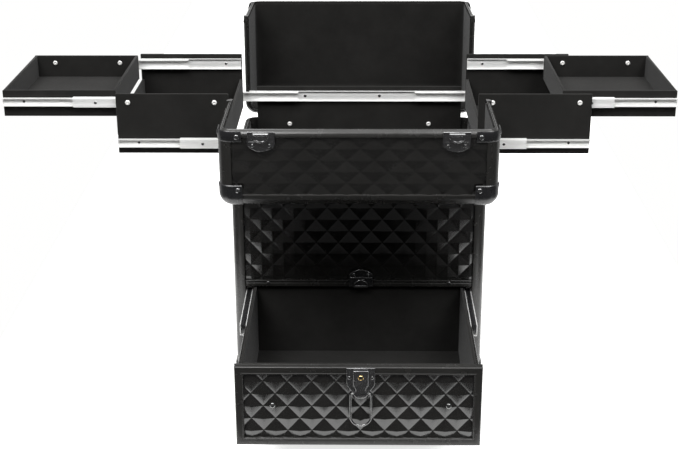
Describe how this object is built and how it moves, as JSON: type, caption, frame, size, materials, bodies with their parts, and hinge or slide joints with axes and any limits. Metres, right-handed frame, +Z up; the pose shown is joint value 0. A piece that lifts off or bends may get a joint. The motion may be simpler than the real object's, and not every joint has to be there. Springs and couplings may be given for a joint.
{
  "type": "makeup train case",
  "caption": "Black makeup train case standing open: two hinged lids, tiered trays on sideways ball-bearing slides, a deep bin and a front drawer with a draw latch.",
  "frame": {"origin": "centre of the base board's underside, which the bottom corner caps hold 5.5 mm above the floor", "axes": "+X to the right as seen from the drawer, along the way the trays draw out; +Y from the drawer front to the back; +Z up"},
  "size_m": [0.8875, 0.6592, 0.4814],
  "materials": {
    "black_aluminium": "satin black anodised extrusion",
    "diamond_panel": "glossy black sheet with moulded diamonds",
    "lining": "black flocked lining on thin board",
    "zinc_slide": "bright zinc plating",
    "black_hardware": "glossy black plating",
    "fibreboard": "bare reddish-brown fibreboard",
    "handle_grip": "matt black moulding"
  },
  "bodies": {
    "carcass": {"body_frame": "black_aluminium", "left_side_panel": "diamond_panel", "right_side_panel": "diamond_panel", "back_panel": "diamond_panel", "upper_front_panel": "diamond_panel", "bin_floor": "lining", "base_board": "fibreboard", "front_board": "lining", "rear_board": "lining", "lower_channel_front": "zinc_slide", "lower_channel_rear": "zinc_slide", "front_hinge_barrel": "black_aluminium", "rear_hinge_barrel": "black_aluminium", "drawer_channel_left": "zinc_slide", "drawer_channel_right": "zinc_slide", "drawer_keeper": "black_hardware"},
    "front_lid": {"front_lid_shell": "diamond_panel", "lid_keeper_left": "black_hardware", "lid_keeper_right": "black_hardware"},
    "rear_lid": {"rear_lid_shell": "diamond_panel", "lid_latch_left_plate": "black_hardware", "lid_latch_right_plate": "black_hardware", "carry_handle_base": "black_hardware"},
    "carry_handle": {"carry_handle": "handle_grip"},
    "lid_latch_lever_left": {"lid_latch_left_lever": "black_hardware"},
    "lid_latch_lever_right": {"lid_latch_right_lever": "black_hardware"},
    "lid_latch_loop_left": {"lid_latch_left_loop": "black_hardware"},
    "lid_latch_loop_right": {"lid_latch_right_loop": "black_hardware"},
    "drawer": {"drawer_front_frame": "black_aluminium", "drawer_front_panel": "diamond_panel", "drawer_box": "lining", "drawer_latch_plate": "black_hardware"},
    "drawer_runner": {"drawer_middle_left": "zinc_slide", "drawer_middle_right": "zinc_slide"},
    "drawer_latch_lever": {"drawer_latch_lever": "black_hardware"},
    "drawer_latch_loop": {"drawer_latch_loop": "black_hardware"},
    "lower_tray_left": {"lower_tray_left": "lining", "lower_inner_left_front": "zinc_slide", "lower_inner_left_rear": "zinc_slide", "upper_channel_left_front": "zinc_slide", "upper_channel_left_rear": "zinc_slide"},
    "lower_runner_left": {"lower_middle_left_front": "zinc_slide", "lower_middle_left_rear": "zinc_slide"},
    "upper_tray_left": {"upper_tray_left": "lining", "upper_inner_left_front": "zinc_slide", "upper_inner_left_rear": "zinc_slide"},
    "upper_runner_left": {"upper_middle_left_front": "zinc_slide", "upper_middle_left_rear": "zinc_slide"},
    "lower_tray_right": {"lower_tray_right": "lining", "lower_inner_right_front": "zinc_slide", "lower_inner_right_rear": "zinc_slide", "upper_channel_right_front": "zinc_slide", "upper_channel_right_rear": "zinc_slide"},
    "lower_runner_right": {"lower_middle_right_front": "zinc_slide", "lower_middle_right_rear": "zinc_slide"},
    "upper_tray_right": {"upper_tray_right": "lining", "upper_inner_right_front": "zinc_slide", "upper_inner_right_rear": "zinc_slide"},
    "upper_runner_right": {"upper_middle_right_front": "zinc_slide", "upper_middle_right_rear": "zinc_slide"}
  },
  "joints": [
    {"name": "front_lid_hinge", "type": "hinge", "parent": "carcass", "child": "front_lid", "pos_m": [0, -0.132, 0.3275], "axis": [-1, 0, 0], "range_deg": [0, 12.2]},
    {"name": "rear_lid_hinge", "type": "hinge", "parent": "carcass", "child": "rear_lid", "pos_m": [0, 0.132, 0.3275], "axis": [1, 0, 0], "range_deg": [0, 14]},
    {"name": "lower_tray_left_slide", "type": "slide", "parent": "carcass", "child": "lower_tray_left", "axis": [-1, 0, 0], "range_m": [-0.167, 0]},
    {"name": "lower_runner_left_slide", "type": "slide", "parent": "carcass", "child": "lower_runner_left", "axis": [-1, 0, 0], "range_m": [-0.0835, 0]},
    {"name": "upper_tray_left_slide", "type": "slide", "parent": "lower_tray_left", "child": "upper_tray_left", "axis": [-1, 0, 0], "range_m": [-0.151, 0]},
    {"name": "upper_runner_left_slide", "type": "slide", "parent": "lower_tray_left", "child": "upper_runner_left", "axis": [-1, 0, 0], "range_m": [-0.0755, 0]},
    {"name": "lower_tray_right_slide", "type": "slide", "parent": "carcass", "child": "lower_tray_right", "axis": [1, 0, 0], "range_m": [-0.1526, 0.0144]},
    {"name": "lower_runner_right_slide", "type": "slide", "parent": "carcass", "child": "lower_runner_right", "axis": [1, 0, 0], "range_m": [-0.0763, 0.0072]},
    {"name": "upper_tray_right_slide", "type": "slide", "parent": "lower_tray_right", "child": "upper_tray_right", "axis": [1, 0, 0], "range_m": [-0.109, 0.0417]},
    {"name": "upper_runner_right_slide", "type": "slide", "parent": "lower_tray_right", "child": "upper_runner_right", "axis": [1, 0, 0], "range_m": [-0.0545, 0.02085]},
    {"name": "drawer_slide", "type": "slide", "parent": "carcass", "child": "drawer", "axis": [0, -1, 0], "range_m": [-0.234, 0]},
    {"name": "drawer_runner_slide", "type": "slide", "parent": "carcass", "child": "drawer_runner", "axis": [0, -1, 0], "range_m": [-0.117, 0]},
    {"name": "lid_latch_lever_left_hinge", "type": "hinge", "parent": "rear_lid", "child": "lid_latch_lever_left", "pos_m": [-0.117, 0.27511, 0.46859], "axis": [1, 0, 0], "range_deg": [0, 90]},
    {"name": "lid_latch_loop_left_hinge", "type": "hinge", "parent": "lid_latch_lever_left", "child": "lid_latch_loop_left", "pos_m": [-0.117, 0.2756, 0.43666], "axis": [-1, 0, 0], "range_deg": [-168, 0]},
    {"name": "lid_latch_lever_right_hinge", "type": "hinge", "parent": "rear_lid", "child": "lid_latch_lever_right", "pos_m": [0.117, 0.27511, 0.46859], "axis": [1, 0, 0], "range_deg": [0, 90]},
    {"name": "lid_latch_loop_right_hinge", "type": "hinge", "parent": "lid_latch_lever_right", "child": "lid_latch_loop_right", "pos_m": [0.117, 0.2756, 0.43666], "axis": [-1, 0, 0], "range_deg": [-168, 0]},
    {"name": "drawer_latch_lever_hinge", "type": "hinge", "parent": "drawer", "child": "drawer_latch_lever", "pos_m": [0.003, -0.3666, 0.1597], "axis": [-1, 0, 0], "range_deg": [0, 90]},
    {"name": "drawer_latch_loop_hinge", "type": "hinge", "parent": "drawer_latch_lever", "child": "drawer_latch_loop", "pos_m": [0.003, -0.3682, 0.1278], "axis": [1, 0, 0], "range_deg": [-168, 0]},
    {"name": "carry_handle_hinge", "type": "hinge", "parent": "rear_lid", "child": "carry_handle", "pos_m": [0, 0.28058, 0.41887], "axis": [1, 0, 0], "range_deg": [0, 170]}
  ],
  "couplings": [
    {"joint": "lower_runner_left_slide", "follows": "lower_tray_left_slide", "ratio": 0.5},
    {"joint": "upper_runner_left_slide", "follows": "upper_tray_left_slide", "ratio": 0.5},
    {"joint": "lower_runner_right_slide", "follows": "lower_tray_right_slide", "ratio": 0.5},
    {"joint": "upper_runner_right_slide", "follows": "upper_tray_right_slide", "ratio": 0.5},
    {"joint": "drawer_runner_slide", "follows": "drawer_slide", "ratio": 0.5}
  ]
}
